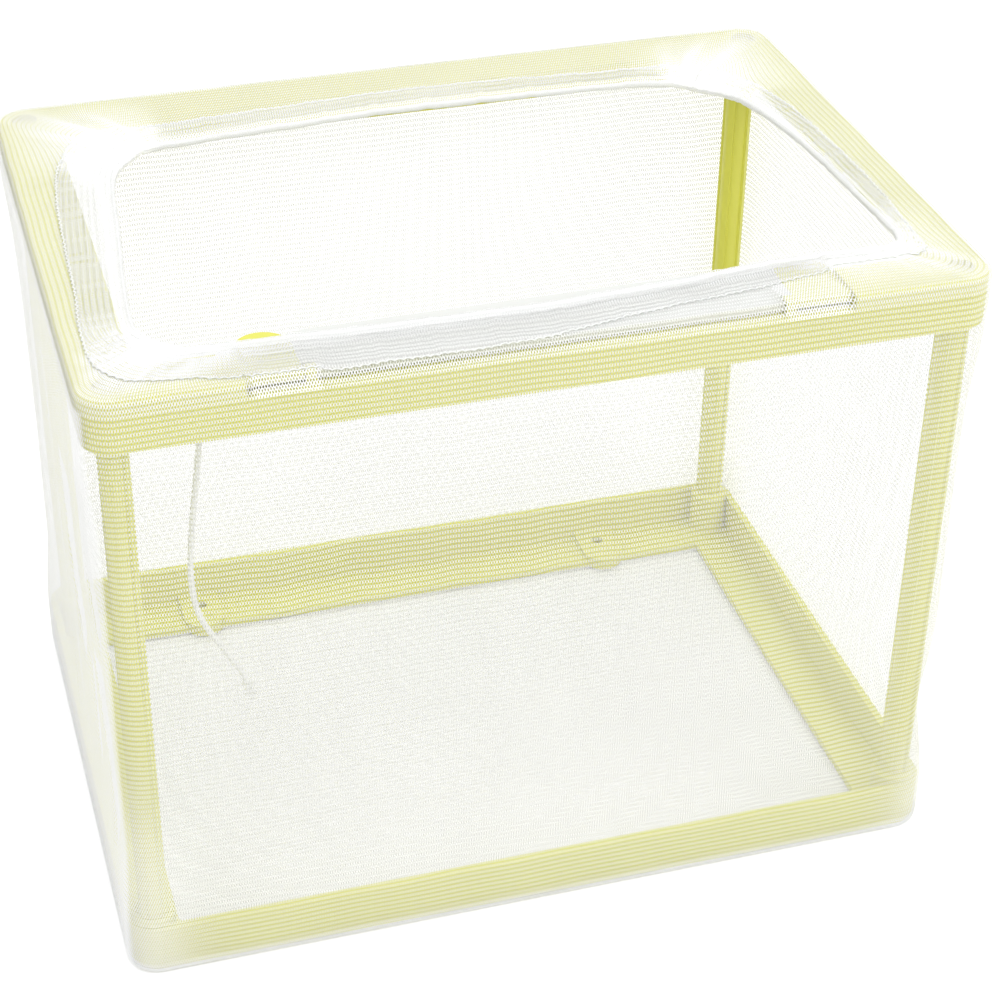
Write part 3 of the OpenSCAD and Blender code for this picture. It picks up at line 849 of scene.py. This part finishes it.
rimFront = rimMesh("rimFront", frontColumns)
rimSides = rimMesh("rimSides", sideColumns)
hemCordFront = makeHemCord("hemCordFront", frontColumns)
hemCordSides = makeHemCord("hemCordSides", sideColumns)
stitchesFront = makeStitches("seamStitchesFront", frontColumns)
stitchesSides = makeStitches("seamStitchesSides", sideColumns)
for piece in (rimFront, rimSides, hemCordFront, hemCordSides, stitchesFront, stitchesSides):
    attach(piece, "frame")
for piece in (hemCordFront, hemCordSides):
    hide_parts("hem_cord")
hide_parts("net_rim_front")
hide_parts("net_rim_left", "net_rim_right", "net_rim_back")
# The user slips the front of the rim down before the hanger swings out; these pieces only get meshes of
# their own here
for piece in (rimFront, hemCordFront, stitchesFront):
    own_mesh(piece)
print("rim and hem made")

# Walls of the bag: slack between the rings, with narrow folds on the left side
wallSettings = {
    "rowStep": 2.2,
    "slack": 0.5,
    # Packed values past 1.05 also give the net its painted brightening
    "leftPacked": 1.6,                      # how much closer the left side's net is drawn together
    "footPacked": 0.8,                      # the same at the seam along the foot
    "cornerPacked": {                       # the same at the bottom corners: amount, reach and top
        "frontLeft": (0.6, 11, 60), "frontRight": (0.5, 8, 30),
        "backRight": (0.7, 9, 26), "backLeft": (0.5, 8, 30),
    },
    "tuck": (1.5, 11, 31, 13),              # inward tuck at the front right: depth, reach, z, height
    # Waves over the wall: height, length along it, z over which they lean by a radian, phase
    "waves": [(0.22, 41, 27, 0), (0.16, 23, -35, 1), (0.10, 9.5, 12, 0)],
    "cornerSlack": {"frontLeft": 0.7, "frontRight": 0.9, "backRight": 0.9, "backLeft": 1.5},
    "folds": [                              # y and z of both ends, width and height
        (-11.5, 92, -23.5, 55, 1.3, 1.3), (-37.5, 104, -50, 76, 1.2, 1.2),
        (-42, 66, -47, 46, 1.2, 1.2), (-47, 46, -46, 24, 1.2, 1.0), (-30, 60, -33, 34, 1.4, 0.7),
    ],
}


def wallShift(u, z, place):
    # Inward shift of a wall: a slow bow between the rings, more at the corners, waves and folds
    s = wallSettings
    free = smoothStep(10, 34, z) * smoothStep(124, 100, z)
    shift = s["slack"] * free
    for corner, amount in s["cornerSlack"].items():
        shift += amount * free * np.exp(-(fromCorner(u, corner) / 14) ** 2)
    depth, reach, middle, tall = s["tuck"]
    tucked = np.exp(-(fromCorner(u, "frontRight") / reach) ** 2)
    shift += depth * tucked * np.exp(-((z - middle) / tall) ** 2)
    for height, length, rise, phase in s["waves"]:
        shift += height * np.sin(u * 2 * math.pi / length + z / rise + phase) * free
    left = place[..., 0] < -halfX + 1
    for y0, z0, y1, z1, width, height in s["folds"]:
        share = np.clip((z0 - z) / (z0 - z1), -0.15, 1.15)
        off = (place[..., 1] - (y0 + (y1 - y0) * share)) / width
        ends = smoothStep(-0.15, 0.15, share) * smoothStep(1.15, 0.85, share)
        shift += height * np.exp(-off ** 2) * ends * left
    return shift


def makeWalls():
    s = wallSettings
    e = bagSettings["edgeRound"]
    lift = bagSettings["floorLift"]
    angle = np.radians([90, 68, 45, 22, 0])[:, None]
    footIn = e - e * np.cos(angle)
    footUp = lift + e - e * np.sin(angle)
    rows = round((wallTop - lift - e) / s["rowStep"])
    height = np.linspace(lift + e, wallTop, rows + 1)[1:, None]
    inset = np.concatenate([footIn, np.zeros_like(height)]) * np.ones_like(stations)
    up = np.concatenate([footUp, height]) * np.ones_like(stations)
    place = outer[None] - outward[None] * inset[..., None]
    inset = inset + wallShift(stations[None] * np.ones_like(up), up, place)
    plane = outer[None] - outward[None] * inset[..., None]
    points = np.concatenate([plane, up[..., None]], 2)
    v = meridian(points)
    v = v - v[-1] + wallTop
    index, cornerRow, cornerColumn = gridFaces(points.shape[0], points.shape[1], True)
    packed = 1 + s["leftPacked"] * smoothStep(-0.8, -0.97, outward[:, 0]) * np.ones_like(up)
    packed = packed + s["footPacked"] * smoothStep(3.4, 1.6, up)
    for corner, (amount, reach, top) in s["cornerPacked"].items():
        near = np.exp(-(fromCorner(stations, corner) / reach) ** 2)
        packed = packed + amount * near * smoothStep(top, 0.3 * top, up)
    walls = meshObject("bagWalls", points.reshape(-1, 3), index, netMaterial,
                       gridUv(alongU, v, cornerRow, cornerColumn), packed)
    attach(walls, "frame")
    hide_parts("net_front", "net_back", "net_left", "net_right")


floorSettings = {"rows": 80, "columns": 110}


def makeBagFloor(s):
    # Columns across the box, each as long as the rounded outline is there
    rows, columns = s["rows"], s["columns"]
    e, lift = bagSettings["edgeRound"], bagSettings["floorLift"]
    endX, endY, r = halfX - e, halfY - e, turn - e
    x = np.linspace(-endX, endX, columns)
    cornerOff = np.maximum(np.abs(x) - (endX - r), 0)
    reach = endY - r + np.sqrt(np.maximum(r * r - cornerOff ** 2, 0))
    t = np.linspace(-1, 1, rows)
    px = x[None] * np.ones((rows, 1))
    py = t[:, None] * reach[None]
    edge = np.minimum(endX - np.abs(px), reach[None] - np.abs(py))
    wave = 0.12 * np.sin(px / 9 + py / 17) + 0.1 * np.sin(py / 6 - px / 21)
    up = lift + np.maximum(wave, -0.1) * smoothStep(0, 8, edge)
    points = np.stack([px, py, up], 2)
    index, cornerRow, cornerColumn = gridFaces(rows, columns, False)
    uv = gridUv(x, py, cornerRow[:, ::-1], cornerColumn[:, ::-1])
    floorPiece = meshObject("bagFloor", points.reshape(-1, 3), index[:, ::-1], netMaterial, uv,
                            np.ones(rows * columns))
    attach(floorPiece, "frame")
    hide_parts("net_floor")


makeWalls()
makeBagFloor(floorSettings)
print("walls and floor of the bag made")

# Floor, world and lamps. Camera, glossy and transmission rays see white.
lightSettings = {
    "ambient": 0.75,
    "floorColour": 0.86,
    "floorGlow": 0.3,
    "floorHalf": 4, "floorDown": 0.0001,
    "lamps": [                       # place, size, watts
        ((0.55, -0.75, 1.05), 0.9, 7.0),
        ((-0.9, -0.5, 0.8), 0.9, 2.0),
        ((0.1, 0.5, 1.4), 1.1, 4.6),
    ],
}


def backdropRays(tree):
    path = node(tree, "ShaderNodeLightPath")
    bounced = calc(tree, "MAXIMUM", path.outputs["Is Glossy Ray"], path.outputs["Is Transmission Ray"])
    return calc(tree, "MAXIMUM", path.outputs["Is Camera Ray"], bounced)


def makeStage(s):
    material, tree, shader = newMaterial("paleFloor")
    c = s["floorColour"]
    shader.inputs["Base Color"].default_value = (c, c, c, 1)
    shader.inputs["Roughness"].default_value = 0.9
    shader.inputs["Specular IOR Level"].default_value = 0.0
    shader.inputs["Emission Color"].default_value = (1, 1, 1, 1)
    plug(tree, shader.inputs["Emission Strength"],
         calc(tree, "MULTIPLY", backdropRays(tree), s["floorGlow"]))
    mesh = bpy.data.meshes.new("floor")
    half, down = s["floorHalf"], s["floorDown"]
    corners = [(-half, -half, -down), (half, -half, -down), (half, half, -down), (-half, half, -down)]
    mesh.from_pydata(corners, [], [(0, 1, 2, 3)])
    mesh.materials.append(material)
    ground = bpy.data.objects.new("floor", mesh)
    scene.collection.objects.link(ground)
    world = bpy.data.worlds.new("studio")
    world.use_nodes = True
    tree = world.node_tree
    ambient = tree.nodes["Background"]
    ambient.inputs[0].default_value = (1, 1, 1, 1)
    ambient.inputs[1].default_value = s["ambient"]
    white = node(tree, "ShaderNodeBackground")
    mix = node(tree, "ShaderNodeMixShader")
    plug(tree, mix.inputs[0], backdropRays(tree))
    tree.links.new(ambient.outputs[0], mix.inputs[1])
    tree.links.new(white.outputs[0], mix.inputs[2])
    tree.links.new(mix.outputs[0], tree.nodes["World Output"].inputs[0])
    scene.world = world
    for k, (place, size, watts) in enumerate(s["lamps"]):
        data = bpy.data.lights.new(f"lamp{k}", "AREA")
        data.size, data.energy = size, watts
        lamp = bpy.data.objects.new(f"lamp{k}", data)
        away = np.array(place) - [0, 0, 0.06]
        turned = Matrix.Identity(3)
        z = away / np.linalg.norm(away)
        x = np.cross([0, 0, 1], z)
        x /= np.linalg.norm(x)
        y = np.cross(z, x)
        for i in range(3):
            turned[i][0], turned[i][1], turned[i][2] = x[i], y[i], z[i]
        lamp.matrix_world = Matrix.Translation(place) @ turned.to_4x4()
        scene.collection.objects.link(lamp)


makeStage(lightSettings)
print("stage made")
